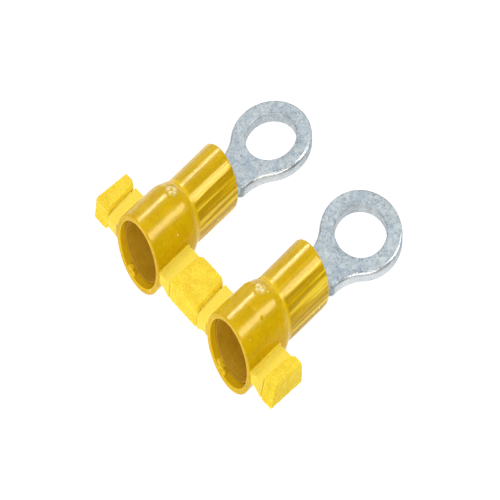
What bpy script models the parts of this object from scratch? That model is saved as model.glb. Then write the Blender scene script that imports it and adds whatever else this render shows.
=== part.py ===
"""Two insulated ring terminals side by side in a cut length of moulded strip.

Each terminal is a stamped and rolled ring tongue with a wire barrel, a moulded sleeve
with a funnel mouth round the barrel, and a thin grip sleeve inside the funnel. Wings on
the sleeves run into link blocks, whole between the terminals and cut off at both ends.

Metres, +Z up. X runs along the strip, Y along the sleeves from the mouths to the rings.
The origin is under the middle of the strip, on the surface that the mouths rest on.
"""
import math

import bmesh
import bpy

MM = 0.001

# Strip
PITCH = 17.0 * MM                 # sleeve axis to sleeve axis, and block to block
CLEARANCE = 0.06 * MM             # between any two pieces that touch
SEGMENTS = 48                     # facets round a turned piece

# Moulded sleeve: bores are radii, walls are added to them
FUNNEL_BORE = 3.4 * MM
FUNNEL_LENGTH = 6.1 * MM          # from the mouth plane to the shoulder
SHOULDER_LENGTH = 1.45 * MM
SLEEVE_LENGTH = 14.9 * MM         # from the mouth plane to the ring end
MOUTH_WALL = 0.6 * MM
FUNNEL_WALL = 0.53 * MM           # where the shoulder starts
BARREL_WALL = 0.56 * MM           # over the wire barrel, at the shoulder
BARREL_END_WALL = 0.62 * MM       # over the wire barrel, at the ring end
END_ROUND = 0.4 * MM
MOUTH_ROUND = 0.12 * MM
MOUTH_CHAMFER = 0.12 * MM

# Grip sleeve inside the funnel
GRIP_WALL = 0.25 * MM
GRIP_START = 0.9 * MM             # behind the mouth plane
GRIP_SETBACK = 0.3 * MM           # its straight part ends this far before the shoulder
GRIP_CONE_LENGTH = 1.2 * MM
THROAT_MARGIN = 0.25 * MM         # its narrow end is this much wider than the wire barrel's bore

# Ring terminal
STOCK = 1.0 * MM                  # sheet thickness
BARREL_BORE = 1.7 * MM
BARREL_GAP = 0.3 * MM             # between the grip sleeve's narrow end and the barrel
BARREL_SETBACK = 1.7 * MM         # the whole barrel ends this far inside the moulded sleeve
TRIM_LENGTH = 1.4 * MM            # over which the barrel's sides are cut down behind it
FLATTEN_SETBACK = 0.15 * MM       # the tongue starts to flatten this far inside the sleeve
FLATTEN_LENGTH = 1.7 * MM
SEAM_GAP = 0.16 * MM
TONGUE_DROP = 0.82 * MM           # top of the tongue below the sleeve axis
TONGUE_HALF_WIDTH = 2.7 * MM
TONGUE_FILLET = 6.0 * MM
RING_REACH = 8.82 * MM            # from the moulded sleeve's ring end to the stud hole's centre
STUD_HOLE_RADIUS = 3.4 * MM
RING_BAND = 2.05 * MM             # metal between the stud hole and the ring's outside
RING_JOIN_GAP = 1.9 * MM          # flat tongue left between its grid and the stud hole
TERMINAL_ROLL = {"left": math.radians(-7.6), "right": 0.0}
BLANK_COLUMNS = 32
TRANSITION_ROWS = 9
ARC_POINTS = 26                   # down each side of the ring
FILLET_POINTS = 3

# Wings and link blocks
WEB_THICKNESS = 1.2 * MM
WEB_DEPTH = 5.3 * MM
WING_ROOT = 0.2 * MM              # how far a wing's root is inside the funnel wall
TAB_FRONT = 0.8 * MM              # a wing's tab in its block, from the mouth plane
TAB_BACK = 4.5 * MM
TAB_LENGTH = 1.1 * MM
BLOCK_THICKNESS = 2.2 * MM
BLOCK_DEPTH = 5.38 * MM
BLOCK_FRONT_HALF = 2.6 * MM       # half width at the webs' faces
BLOCK_BACK_HALF = 2.36 * MM
BLOCK_DRAFT = 0.22 * MM           # lost on each side by the top and bottom faces
BLOCK_CHAMFER = 0.5 * MM
CUT_CHAMFER = 0.12 * MM
BLOCK_EDGE = 0.1 * MM
LEFT_CUT = (0.2 * MM, 0.55 * MM)      # an end block's cut face at its front and back,
RIGHT_CUT = (-0.65 * MM, -0.4 * MM)   # from where its centre line was
# how far the top of each block's front face leans back
FRONT_LEAN = {"middle": 0.2 * MM, "left": 0.3 * MM, "right": 0.85 * MM}

# Sizes that follow
MERGE = 1e-6
BARREL_MEAN = BARREL_BORE + STOCK / 2
BARREL_RADIUS = BARREL_BORE + STOCK
MOUTH_RADIUS = FUNNEL_BORE + MOUTH_WALL
GRIP_STRAIGHT_END = FUNNEL_LENGTH - GRIP_SETBACK
GRIP_THROAT = BARREL_BORE + THROAT_MARGIN
BARREL_START = GRIP_STRAIGHT_END + GRIP_CONE_LENGTH + BARREL_GAP
BARREL_END = SLEEVE_LENGTH - BARREL_SETBACK
FLATTEN_START = SLEEVE_LENGTH - FLATTEN_SETBACK
FLATTEN_END = FLATTEN_START + FLATTEN_LENGTH
RING_CENTRE = SLEEVE_LENGTH + RING_REACH
RING_RADIUS = STUD_HOLE_RADIUS + RING_BAND
# The strip's own frame has its origin midway between the sleeves, on the mouth plane.
SHIFT_X = -(LEFT_CUT[0] + RIGHT_CUT[1]) / 2
SHIFT_Y = -(RING_CENTRE + RING_RADIUS) / 2
SHIFT_Z = MOUTH_RADIUS
SLEEVES = {"left": -PITCH / 2, "right": PITCH / 2}

COLOURS = {
    "insulator_vinyl": ((0.72, 0.50, 0.03, 1.0), 0.30, 0.0),
    "link_vinyl": ((0.76, 0.52, 0.04, 1.0), 0.55, 0.0),
    "tin_plate": ((0.62, 0.66, 0.69, 1.0), 0.38, 1.0),
    "grip_brass": ((0.48, 0.33, 0.09, 1.0), 0.42, 1.0),
}


def clear_scene():
    """Remove every object, so that the script can be run again in an open file."""
    for obj in list(bpy.data.objects):
        bpy.data.objects.remove(obj, do_unlink=True)


def make_material(name):
    """Return the named Principled material, made on first use."""
    material = bpy.data.materials.get(name)
    if material is None:
        colour, roughness, metallic = COLOURS[name]
        material = bpy.data.materials.new(name)
        material.use_nodes = True
        shader = material.node_tree.nodes["Principled BSDF"]
        shader.inputs["Base Color"].default_value = colour
        shader.inputs["Roughness"].default_value = roughness
        shader.inputs["Metallic"].default_value = metallic
    return material


def make_collection(name):
    collection = bpy.data.collections.new(name)
    bpy.context.scene.collection.children.link(collection)
    return collection


def add_object(name, mesh, collection, place, material=None):
    """Put a mesh in the scene at a place given in the strip's own frame."""
    obj = bpy.data.objects.new(name, mesh)
    collection.objects.link(obj)
    obj.location = (place[0] + SHIFT_X, place[1] + SHIFT_Y, place[2] + SHIFT_Z)
    if material:
        mesh.materials.append(make_material(material))
    return obj


def mark_cutter(obj):
    obj.hide_render = True
    obj.display_type = "WIRE"


def smooth_step(value, start, end):
    """Rise smoothly from 0 at start to 1 at end."""
    share = min(max((value - start) / (end - start), 0.0), 1.0)
    return share * share * (3.0 - 2.0 * share)


def blend(low, high, share):
    return low + (high - low) * share


# Turned pieces

def turned(name, profile, sleeve_x, collection, material):
    """Turn a closed profile of (along, radius) points about a sleeve's axis.

    The profile runs along the outer side from the ring end to the mouth, then back inside.
    """
    mesh = bpy.data.meshes.new(name)
    points = [(radius, 0.0, along) for along, radius in profile]
    edges = [(index, (index + 1) % len(points)) for index in range(len(points))]
    mesh.from_pydata(points, edges, [])
    obj = add_object(name, mesh, collection, (sleeve_x, 0.0, 0.0), material)
    obj.rotation_euler = (-math.pi / 2, 0.0, 0.0)
    screw = obj.modifiers.new("Turn", "SCREW")
    screw.axis = "Z"
    screw.angle = 2 * math.pi
    screw.steps = SEGMENTS
    screw.render_steps = SEGMENTS
    screw.use_merge_vertices = True
    screw.merge_threshold = MERGE
    screw.use_smooth_shade = True
    return obj


def shoulder_points():
    """Points down the rounded shoulder, from the barrel section to the funnel."""
    count = 5
    points = []
    low = BARREL_RADIUS + CLEARANCE + BARREL_WALL
    for index in range(count + 1):
        angle = math.pi / 2 * index / count
        along = FUNNEL_LENGTH + SHOULDER_LENGTH * math.cos(angle)
        radius = blend(low, FUNNEL_BORE + FUNNEL_WALL, math.sin(angle))
        points.append((along, radius))
    return points


def end_round_points():
    """Points round the sleeve's ring end, from its face to its outside."""
    count = 3
    outside = BARREL_RADIUS + CLEARANCE + BARREL_END_WALL
    centre = (SLEEVE_LENGTH - END_ROUND, outside - END_ROUND)
    points = []
    for index in range(count + 1):
        angle = math.pi / 2 * index / count
        points.append((centre[0] + END_ROUND * math.cos(angle), centre[1] + END_ROUND * math.sin(angle)))
    return points


def cone_rise():
    """Radius lost for each metre along the grip sleeve's cone."""
    return (FUNNEL_BORE - CLEARANCE - GRIP_WALL - GRIP_THROAT) / GRIP_CONE_LENGTH


def insulator_profile():
    bore = BARREL_RADIUS + CLEARANCE
    cone_start = GRIP_STRAIGHT_END + CLEARANCE
    cone_end = cone_start + (FUNNEL_BORE - bore) / cone_rise()
    mouth = [(MOUTH_ROUND, MOUTH_RADIUS), (0.0, MOUTH_RADIUS - MOUTH_ROUND)]
    outside = end_round_points() + shoulder_points() + mouth
    inside = [(0.0, FUNNEL_BORE + MOUTH_CHAMFER), (MOUTH_CHAMFER, FUNNEL_BORE), (cone_start, FUNNEL_BORE)]
    return outside + inside + [(cone_end, bore), (SLEEVE_LENGTH, bore)]


def grip_sleeve_profile():
    outer = FUNNEL_BORE - CLEARANCE
    cone_end = GRIP_STRAIGHT_END + GRIP_CONE_LENGTH
    outside = [(cone_end, GRIP_THROAT + GRIP_WALL), (GRIP_STRAIGHT_END, outer), (GRIP_START, outer)]
    inside = [(GRIP_START, outer - GRIP_WALL), (GRIP_STRAIGHT_END, outer - GRIP_WALL)]
    return outside + inside + [(cone_end, GRIP_THROAT)]


# Wings and link blocks

def prism(name, outline, low, high, collection, place):
    """Extrude a plan outline from low to high."""
    mesh = bpy.data.meshes.new(name)
    bm = bmesh.new()
    face = bm.faces.new([bm.verts.new((x, y, low)) for x, y in outline])
    extruded = bmesh.ops.extrude_face_region(bm, geom=[face])
    risen = [item for item in extruded["geom"] if isinstance(item, bmesh.types.BMVert)]
    bmesh.ops.translate(bm, vec=(0.0, 0.0, high - low), verts=risen)
    bmesh.ops.recalc_face_normals(bm, faces=bm.faces)
    bm.to_mesh(mesh)
    bm.free()
    return add_object(name, mesh, collection, place)


def block_half(along):
    """Half width of a link block at the webs' faces, at a distance behind the mouth plane."""
    return blend(BLOCK_FRONT_HALF, BLOCK_BACK_HALF, along / BLOCK_DEPTH)


def wing_end(along):
    """Distance from the sleeve's axis at which its web stops short of the block."""
    return PITCH / 2 - block_half(along) - CLEARANCE


def add_wing(name, side, collection, sleeve_x):
    """A web that grows out of the funnel wall, with a tab that the block holds."""
    root = FUNNEL_BORE + WING_ROOT
    tip = wing_end(TAB_BACK) + TAB_LENGTH
    front = [(root, 0.0), (wing_end(0.0), 0.0), (wing_end(TAB_FRONT), TAB_FRONT), (tip, TAB_FRONT)]
    back = [(tip, TAB_BACK), (wing_end(TAB_BACK), TAB_BACK), (wing_end(WEB_DEPTH), WEB_DEPTH), (root, WEB_DEPTH)]
    outline = [(side * x, y) for x, y in front + back]
    half = WEB_THICKNESS / 2
    wing = prism(name, outline, -half, half, collection, (sleeve_x, 0.0, 0.0))
    mark_cutter(wing)
    return wing


def add_insulator(side, parts, cutters):
    """The moulded sleeve with its two wings."""
    name = "insulator_" + side
    insulator = turned(name, insulator_profile(), SLEEVES[side], parts, "insulator_vinyl")
    for direction, label in ((-1, "near_left"), (1, "near_right")):
        wing = add_wing(name + "_wing_" + label, direction, cutters, SLEEVES[side])
        union = insulator.modifiers.new("Wing " + label, "BOOLEAN")
        union.operation = "UNION"
        union.solver = "EXACT"
        union.object = wing
    return insulator


def block_section(level, cuts, lean):
    """Plan outline of a block at a level, counted from the sleeves' axes.

    cuts gives the cut face at each side that has one, as (front, back) from the block's centre.
    """
    half_height = BLOCK_THICKNESS / 2
    half_web = WEB_THICKNESS / 2
    inset = BLOCK_DRAFT * max(abs(level) - half_web, 0.0) / (half_height - half_web)
    front = lean * (level + half_height) / BLOCK_THICKNESS
    sides = {}
    for side in (-1, 1):
        if side in cuts:
            at_front, at_back = cuts[side]
            chamfer = CUT_CHAMFER
        else:
            at_front = side * (BLOCK_FRONT_HALF - inset)
            at_back = side * (BLOCK_BACK_HALF - inset)
            chamfer = BLOCK_CHAMFER
        sides[side] = (at_front, at_back, chamfer)
    back = BLOCK_DEPTH - inset / 2
    left_front, left_back, left_chamfer = sides[-1]
    right_front, right_back, right_chamfer = sides[1]
    return [
        (left_front, front), (right_front, front), (right_back, back - right_chamfer),
        (right_back - right_chamfer, back), (left_back + left_chamfer, back), (left_back, back - left_chamfer),
    ]


def loft(name, sections, levels, collection, place, material):
    """Join plan outlines of equal counts at rising levels, closed at the top and bottom."""
    mesh = bpy.data.meshes.new(name)
    bm = bmesh.new()
    rings = [[bm.verts.new((x, y, z)) for x, y in outline] for outline, z in zip(sections, levels)]
    for low, high in zip(rings, rings[1:]):
        for index in range(len(low)):
            after = (index + 1) % len(low)
            bm.faces.new((low[index], low[after], high[after], high[index]))
    bm.faces.new(list(reversed(rings[0])))
    bm.faces.new(rings[-1])
    bmesh.ops.recalc_face_normals(bm, faces=bm.faces)
    bm.to_mesh(mesh)
    bm.free()
    return add_object(name, mesh, collection, place, material)


def add_pocket(name, side, collection, place):
    """Cutter for the pocket that a wing's tab sits in, seen from the block's centre."""
    tab_tip = PITCH / 2 - wing_end(TAB_BACK) - TAB_LENGTH
    inner = side * (tab_tip - CLEARANCE)
    outer = side * (BLOCK_FRONT_HALF + WEB_THICKNESS)
    front = TAB_FRONT - CLEARANCE
    back = TAB_BACK + CLEARANCE
    outline = [(inner, front), (outer, front), (outer, back), (inner, back)]
    half = WEB_THICKNESS / 2 + CLEARANCE
    pocket = prism(name, outline, -half, half, collection, place)
    mark_cutter(pocket)
    return pocket


def add_block(name, centre, cuts, lean, parts, cutters):
    """A link block, cut off at the sides in cuts and holding a wing's tab at the others."""
    half_height = BLOCK_THICKNESS / 2
    half_web = WEB_THICKNESS / 2
    levels = (-half_height, -half_web, half_web, half_height)
    sections = [block_section(level, cuts, lean) for level in levels]
    place = (centre, 0.0, 0.0)
    block = loft(name, sections, levels, parts, place, "link_vinyl")
    bevel = block.modifiers.new("Moulded edges", "BEVEL")
    bevel.width = BLOCK_EDGE
    bevel.segments = 1
    bevel.limit_method = "ANGLE"
    for side, label in ((-1, "left"), (1, "right")):
        if side in cuts:
            continue
        cut = block.modifiers.new("Pocket " + label, "BOOLEAN")
        cut.operation = "DIFFERENCE"
        cut.solver = "EXACT"
        cut.object = add_pocket(name + "_pocket_" + label, side, cutters, place)
    return block


# Ring terminal: a flat blank with a ring, rolled up behind it into the wire barrel

def fillet_centre():
    """Centre of the fillet between the tongue's straight side and the ring, at +X."""
    across = TONGUE_HALF_WIDTH + TONGUE_FILLET
    reach = RING_RADIUS + TONGUE_FILLET
    return across, RING_CENTRE - math.sqrt(reach * reach - across * across)


def blank_half_width(along):
    """Half width of the flat blank at a distance from the mouth plane."""
    rolled = math.pi * BARREL_MEAN - SEAM_GAP / 2
    width = blend(rolled, TONGUE_HALF_WIDTH, smooth_step(along, BARREL_END, BARREL_END + TRIM_LENGTH))
    across, start = fillet_centre()
    if along > start:
        width = across - math.sqrt(TONGUE_FILLET ** 2 - (along - start) ** 2)
    return width


def rolled_row(along):
    """Middle of the sheet across the blank at one distance, rolled up to its curvature there."""
    flat_share = smooth_step(along, FLATTEN_START, FLATTEN_END)
    curvature = (1.0 - flat_share) / BARREL_MEAN
    lowest = blend(-BARREL_MEAN, -TONGUE_DROP - STOCK / 2, flat_share)
    half = blank_half_width(along)
    row = []
    for column in range(BLANK_COLUMNS + 1):
        across = half * (2.0 * column / BLANK_COLUMNS - 1.0)
        if curvature * half < MERGE:
            row.append((across, along, lowest))
            continue
        turn = curvature * across
        row.append((math.sin(turn) / curvature, along, lowest + (1.0 - math.cos(turn)) / curvature))
    return row


def ring_join():
    """Where the tongue's rows give way to the ring's spokes."""
    return RING_CENTRE - STUD_HOLE_RADIUS - RING_JOIN_GAP


def ring_outline():
    """Outer points of the ring from the tongue's +X edge round to its -X edge."""
    across, start = fillet_centre()
    reach = RING_RADIUS + TONGUE_FILLET
    share = TONGUE_FILLET / reach
    tangent = (across * (1 - share), start + (RING_CENTRE - start) * share)
    right = []
    join = ring_join()
    for index in range(1, FILLET_POINTS):
        along = blend(join, tangent[1], index / FILLET_POINTS)
        right.append((blank_half_width(along), along))
    first = math.atan2(tangent[1] - RING_CENTRE, tangent[0])
    for index in range(ARC_POINTS):
        angle = blend(first, math.pi / 2, index / ARC_POINTS)
        right.append((RING_RADIUS * math.cos(angle), RING_CENTRE + RING_RADIUS * math.sin(angle)))
    left = [(-x, y) for x, y in reversed(right)]
    return right + [(0.0, RING_CENTRE + RING_RADIUS)] + left


def blank_rows():
    """Distances of the blank's rows, close together where the sheet changes shape."""
    transition_end = max(FLATTEN_END, BARREL_END + TRIM_LENGTH)
    rows = [BARREL_START]
    for index in range(TRANSITION_ROWS + 1):
        rows.append(blend(BARREL_END, transition_end, index / TRANSITION_ROWS))
    rows.append((transition_end + ring_join()) / 2)
    rows.append(ring_join())
    return rows


def add_ring_terminal(side, parts):
    """The rolled sheet, thickened to the stock size."""
    name = "ring_terminal_" + side
    mesh = bpy.data.meshes.new(name)
    bm = bmesh.new()
    rows = [[bm.verts.new(point) for point in rolled_row(along)] for along in blank_rows()]
    for near, far in zip(rows, rows[1:]):
        for column in range(BLANK_COLUMNS):
            bm.faces.new((near[column], near[column + 1], far[column + 1], far[column]))
    level = -TONGUE_DROP - STOCK / 2
    rim = rows[-1] + [bm.verts.new((x, y, level)) for x, y in ring_outline()]
    spokes = []
    for outer in rim:
        away = (outer.co.x, outer.co.y - RING_CENTRE)
        scale = STUD_HOLE_RADIUS / math.hypot(*away)
        inner = bm.verts.new((away[0] * scale, RING_CENTRE + away[1] * scale, level))
        spokes.append((outer, inner))
    for (outer, inner), (next_outer, next_inner) in zip(spokes, spokes[1:] + spokes[:1]):
        bm.faces.new((outer, next_outer, next_inner, inner))
    bmesh.ops.recalc_face_normals(bm, faces=bm.faces)
    bm.to_mesh(mesh)
    bm.free()
    terminal = add_object(name, mesh, parts, (SLEEVES[side], 0.0, 0.0), "tin_plate")
    terminal.rotation_euler = (0.0, TERMINAL_ROLL[side], 0.0)
    thick = terminal.modifiers.new("Stock", "SOLIDIFY")
    thick.thickness = STOCK
    thick.offset = 0.0
    return terminal


def main():
    clear_scene()
    parts = make_collection("ring_terminal_pair")
    cutters = make_collection("cutters")
    for side, sleeve_x in SLEEVES.items():
        add_insulator(side, parts, cutters)
        turned("grip_sleeve_" + side, grip_sleeve_profile(), sleeve_x, parts, "grip_brass")
        add_ring_terminal(side, parts)
    add_block("link_block_middle", 0.0, {}, FRONT_LEAN["middle"], parts, cutters)
    add_block("end_block_left", -PITCH, {-1: LEFT_CUT}, FRONT_LEAN["left"], parts, cutters)
    add_block("end_block_right", PITCH, {1: RIGHT_CUT}, FRONT_LEAN["right"], parts, cutters)


main()
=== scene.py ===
"""Looks of two insulated ring terminals side by side in a cut length of moulded strip.

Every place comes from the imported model: a sleeve's axis is the middle of its grip sleeve,
its mouth plane is the front of its insulator, and each block lies in its own node's box.
Shapes are worked out in the sleeve's own terms: along from the mouth plane towards the
ring, angle round the axis from +X towards +Z, and height above the axis.
"""

import math

import bmesh
import bpy
from mathutils import Matrix, Quaternion, Vector, noise


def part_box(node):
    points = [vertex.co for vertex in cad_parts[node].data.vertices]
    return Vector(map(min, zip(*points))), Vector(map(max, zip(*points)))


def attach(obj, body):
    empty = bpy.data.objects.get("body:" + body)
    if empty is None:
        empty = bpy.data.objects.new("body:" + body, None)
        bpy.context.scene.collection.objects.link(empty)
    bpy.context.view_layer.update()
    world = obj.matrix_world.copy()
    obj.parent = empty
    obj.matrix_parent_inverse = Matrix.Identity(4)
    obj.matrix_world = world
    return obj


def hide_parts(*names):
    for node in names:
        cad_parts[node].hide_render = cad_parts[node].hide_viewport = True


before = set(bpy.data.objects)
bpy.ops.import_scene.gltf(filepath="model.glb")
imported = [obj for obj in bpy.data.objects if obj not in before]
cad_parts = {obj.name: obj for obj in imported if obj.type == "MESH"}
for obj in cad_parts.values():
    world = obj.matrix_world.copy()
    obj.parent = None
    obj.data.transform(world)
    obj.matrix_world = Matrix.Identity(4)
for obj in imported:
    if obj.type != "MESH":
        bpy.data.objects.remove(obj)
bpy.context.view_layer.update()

MM = 0.001
SIDES = ("left", "right")
MERGE = 1e-6

# Moulded sleeve
BORE = 3.4 * MM
BARREL_BORE = 2.76 * MM
FUNNEL_END = 6.1 * MM
SHOULDER_RADIUS = 3.93 * MM
FLUTES_START = 7.7 * MM           # behind it the sleeve fits the wire barrel
BARREL_SKIN = 3.385 * MM          # outside radius at the ring end
SLEEVE_END = 14.9 * MM
MOUTH_RADIUS = 4.0 * MM
LIP_ROUND = 0.15 * MM             # outside the mouth
LIP_EASE = 0.10 * MM              # inside it
END_ROUND = 0.4 * MM              # outside the ring end
END_EASE = 0.12 * MM              # inside it
FACETS = 360

# Webs, and the tabs that run on from them
PITCH = 17.0 * MM
CLEARANCE = 0.06 * MM
WEB_HALF = 0.6 * MM
WEB_DEPTH = 5.3 * MM
WEB_GAP = 0.05 * MM
WEB_ROOT = BORE + 0.22 * MM
WEB_EASE = 0.08 * MM
LEDGE_HEIGHT = 0.16 * MM
FLARE_REACH = 1.3 * MM
TAB_FRONT = 0.8 * MM
TAB_BACK = 4.5 * MM
TAB_ROOT = 0.5 * MM               # how far a tab starts inside its web
TAB_REACH = 1.1 * MM              # how far it stands out
TAB_RELIEF = 0.01 * MM

# Link blocks
BLOCK_HALF_HEIGHT = 1.1 * MM
BLOCK_FRONT_HALF = 2.6 * MM
BLOCK_BACK_HALF = 2.36 * MM
BLOCK_DEPTH = 5.38 * MM
BLOCK_DRAFT = 0.22 * MM
BLOCK_CHAMFER = 0.5 * MM
CUT_CHAMFER = 0.12 * MM
BLOCK_EASE = 0.11 * MM
POCKET_MOUTH = 3.6 * MM
SKIN_CELL = 0.075 * MM

# Grip sleeve
GRIP_START = 0.9 * MM
GRIP_WALL = 0.25 * MM
GRIP_RADIUS = BORE - 0.05 * MM
RIB_STEP = 0.8 * MM
RIB_HEIGHT = 0.008 * MM

# Ring terminal
STOCK = 1.0 * MM
BARREL_MEAN = 2.2 * MM
SEAM_GAP = 0.16 * MM


def middle(node):
    low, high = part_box(node)
    return (Vector(low) + Vector(high)) / 2


def sleeve_frame(side):
    """Axis x, mouth plane y and axis z of one sleeve."""
    grip = middle("grip_sleeve_" + side)
    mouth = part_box("insulator_" + side)[0][1]
    return Vector((grip.x, mouth, grip.z))


def smooth_step(value, start, end):
    share = min(max((value - start) / (end - start), 0.0), 1.0)
    return share * share * (3.0 - 2.0 * share)


def blend(low, high, share):
    return low + (high - low) * share


# Trees of nodes, for shapes and for finishes

class Value:
    """A socket that adds Math nodes when it is used in an expression."""

    def __init__(self, tree, socket):
        self.tree = tree
        self.socket = socket

    def math(self, operation, *others):
        sockets = dict(enumerate((self,) + others))
        return self.tree.node("ShaderNodeMath", {"operation": operation}, sockets)

    def __add__(self, other):
        return self.math("ADD", other)

    __radd__ = __add__

    def __sub__(self, other):
        return self.math("SUBTRACT", other)

    def __rsub__(self, other):
        return self.tree.node("ShaderNodeMath", {"operation": "SUBTRACT"}, {0: other, 1: self})

    def __mul__(self, other):
        return self.math("MULTIPLY", other)

    __rmul__ = __mul__

    def __truediv__(self, other):
        return self.math("DIVIDE", other)


class Tree:
    """A node tree that is filled by naming node types, settings and socket values."""

    def __init__(self, tree):
        self.tree = tree

    def node(self, kind, settings=None, sockets=None, output=0):
        made = self.tree.nodes.new(kind)
        for name, value in (settings or {}).items():
            setattr(made, name, value)
        for key, value in (sockets or {}).items():
            self.feed(made.inputs[key], value)
        return Value(self, made.outputs[output]) if made.outputs else made

    def feed(self, socket, value):
        if isinstance(value, Value):
            self.tree.links.new(value.socket, socket)
        else:
            socket.default_value = value

    def rise(self, value, start, end):
        """0 below start, 1 above end, smooth between."""
        sockets = {"Value": value, "From Min": start, "From Max": end}
        return self.node("ShaderNodeMapRange", {"interpolation_type": "SMOOTHSTEP"}, sockets)

    def split(self, vector):
        made = self.node("ShaderNodeSeparateXYZ", None, {0: vector})
        return [Value(self, socket) for socket in made.socket.node.outputs]

    def join(self, x, y, z):
        return self.node("ShaderNodeCombineXYZ", None, {0: x, 1: y, 2: z})

    def cloud(self, place, size, detail=2.0, rough=0.5, stretch=None):
        """Noise whose patches are about size across, and stretched if asked."""
        if stretch:
            sockets = {"Vector": place, "Scale": tuple(1.0 / share for share in stretch)}
            place = self.node("ShaderNodeMapping", {"vector_type": "POINT"}, sockets)
        sockets = {"Vector": place, "Scale": 1.0 / size, "Detail": detail, "Roughness": rough}
        return self.node("ShaderNodeTexNoise", {"noise_dimensions": "3D"}, sockets)


class Finish(Tree):
    """A material whose surface is one Principled shader."""

    def __init__(self, name):
        self.material = bpy.data.materials.new(name)
        self.material.use_nodes = True
        super().__init__(self.material.node_tree)
        self.tree.nodes.clear()
        self.place = self.node("ShaderNodeTexCoord", output="Object")

    def mix(self, share, first, second, how="MIX"):
        settings = {"data_type": "RGBA", "blend_type": how}
        return self.node("ShaderNodeMix", settings, {0: share, 6: first, 7: second}, 2)

    def distance_from(self, point):
        sockets = {0: self.place, 1: tuple(point)}
        return self.node("ShaderNodeVectorMath", {"operation": "DISTANCE"}, sockets, "Value")

    def from_axis(self):
        """Distance from the nearer sleeve's axis."""
        x, y, z = self.split(self.place)
        nearest = None
        for side in SIDES:
            axis = sleeve_frame(side)
            radius = ((x - axis.x) * (x - axis.x) + (z - axis.z) * (z - axis.z)).math("SQRT")
            nearest = radius if nearest is None else nearest.math("MINIMUM", radius)
        return nearest

    def inside_funnels(self):
        """1 on the bore of either funnel, 0 outside."""
        return 1.0 - self.rise(self.from_axis(), 3.42 * MM, 3.55 * MM)

    def beyond_sleeves(self):
        """1 on the webs, 0 on the sleeves."""
        return self.rise(self.from_axis(), 4.10 * MM, 4.30 * MM)

    def specks(self, size, share, reach):
        """Round dots in a share of the cells of a cell pattern of the given size."""
        cells = {"Vector": self.place, "Scale": 1.0 / size, "Randomness": 1.0}
        near = self.node("ShaderNodeTexVoronoi", {"feature": "F1"}, cells, "Distance")
        colour = Value(self, near.socket.node.outputs["Color"])
        chosen = self.rise(self.split(colour)[0], 1.0 - share, 1.0 - share + 0.02)
        return (1.0 - self.rise(near, reach * 0.55, reach)) * chosen

    def bump(self, height, depth):
        return self.node("ShaderNodeBump", None, {"Strength": 1.0, "Distance": depth, "Height": height})

    def surface(self, **sockets):
        named = {name.replace("_", " "): value for name, value in sockets.items()}
        shader = self.node("ShaderNodeBsdfPrincipled", None, named)
        out = self.node("ShaderNodeOutputMaterial")
        self.tree.links.new(shader.socket, out.inputs["Surface"])
        return self.material


def rgb(red, green, blue):
    """Linear colour from display values of 0 to 255."""
    values = []
    for value in (red, green, blue):
        value = value / 255
        values.append(value / 12.92 if value <= 0.04045 else ((value + 0.055) / 1.055) ** 2.4)
    return (*values, 1.0)


VINYL_DEEP = rgb(206, 167, 4)
VINYL_MID = rgb(218, 178, 5)
VINYL_PALE = rgb(234, 196, 16)
VINYL_BROWN = rgb(186, 140, 3)
# painted shade for the dark flute stripes on the grips
VINYL_FLUTE_SHADE = rgb(150, 110, 2)
VINYL_DULL = rgb(184, 146, 4)
# painted highlight for the bright flute stripes on the grips
VINYL_FLUTE_HIGHLIGHT = rgb(250, 222, 70)
# painted light for the bores of the funnels
VINYL_BORE_PAINTED_LIGHT = rgb(238, 200, 26)
# painted highlight on the flash patches in the bores
VINYL_FLASH_HIGHLIGHT = rgb(255, 222, 60)
VINYL_WHITENED = rgb(255, 244, 196)
VINYL_PIT = rgb(120, 90, 15)
VINYL_SHEEN = rgb(255, 236, 170)
LINK_DEEP = rgb(240, 204, 22)
LINK_PALE = rgb(250, 222, 56)
LINK_SHADE = rgb(220, 178, 14)
LINK_LIGHT = rgb(255, 240, 120)
TIN_BLUE = rgb(154, 167, 178)
TIN_GREY = rgb(170, 178, 180)
TIN_PALE = rgb(224, 232, 234)
# bright tin for burnished edges and for the painted highlight on them
TIN_BURNISHED_HIGHLIGHT = rgb(236, 240, 241)
TIN_DARK = rgb(92, 102, 116)
BRASS_DEEP = rgb(210, 172, 34)
BRASS_MID = rgb(226, 188, 46)
# painted shade for the grip sleeve's rolled front edge
BRASS_EDGE_SHADE = rgb(176, 130, 18)
BRASS_PALE = rgb(236, 200, 90)

# Places of the gate marks and of the moulding specks: along, angle and size
GATES = {"left": (6.0 * MM, math.radians(90.0)), "right": (5.74 * MM, math.radians(92.0))}
GATE_RADIUS = 0.78 * MM
WHITENED_RADIUS = 3.95 * MM
NIB_RADIUS = 3.96 * MM
NIBS = {
    "left": ((3.5, 35.0, 0.13, 0.05), (4.9, 62.0, 0.10, 0.03), (2.3, 21.0, 0.09, 0.03)),
    "right": (
        (3.52, 75.0, 0.15, 0.05), (3.81, 57.0, 0.15, 0.06), (1.25, 43.4, 0.16, 0.05),
        (3.2, 28.8, 0.14, -0.07), (5.83, 32.3, 0.12, 0.04), (4.8, 12.0, 0.10, 0.04),
    ),
}

# Ragged flash inside each funnel's mouth, its colour a painted highlight: along, angle and size
FLASH_AND_HIGHLIGHT_PATCHES = {
    "left": ((0.50, 240.0, 0.50), (0.34, 250.0, 0.36)),
    "right": ((0.62, 232.0, 0.48), (0.56, 240.0, 0.50), (0.40, 250.0, 0.40)),
}


def round_axis(along, angle, radius):
    return Vector((radius * math.cos(angle), along, radius * math.sin(angle)))


def on_sleeve(side, along, angle, radius):
    return sleeve_frame(side) + round_axis(along, angle, radius)


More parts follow.
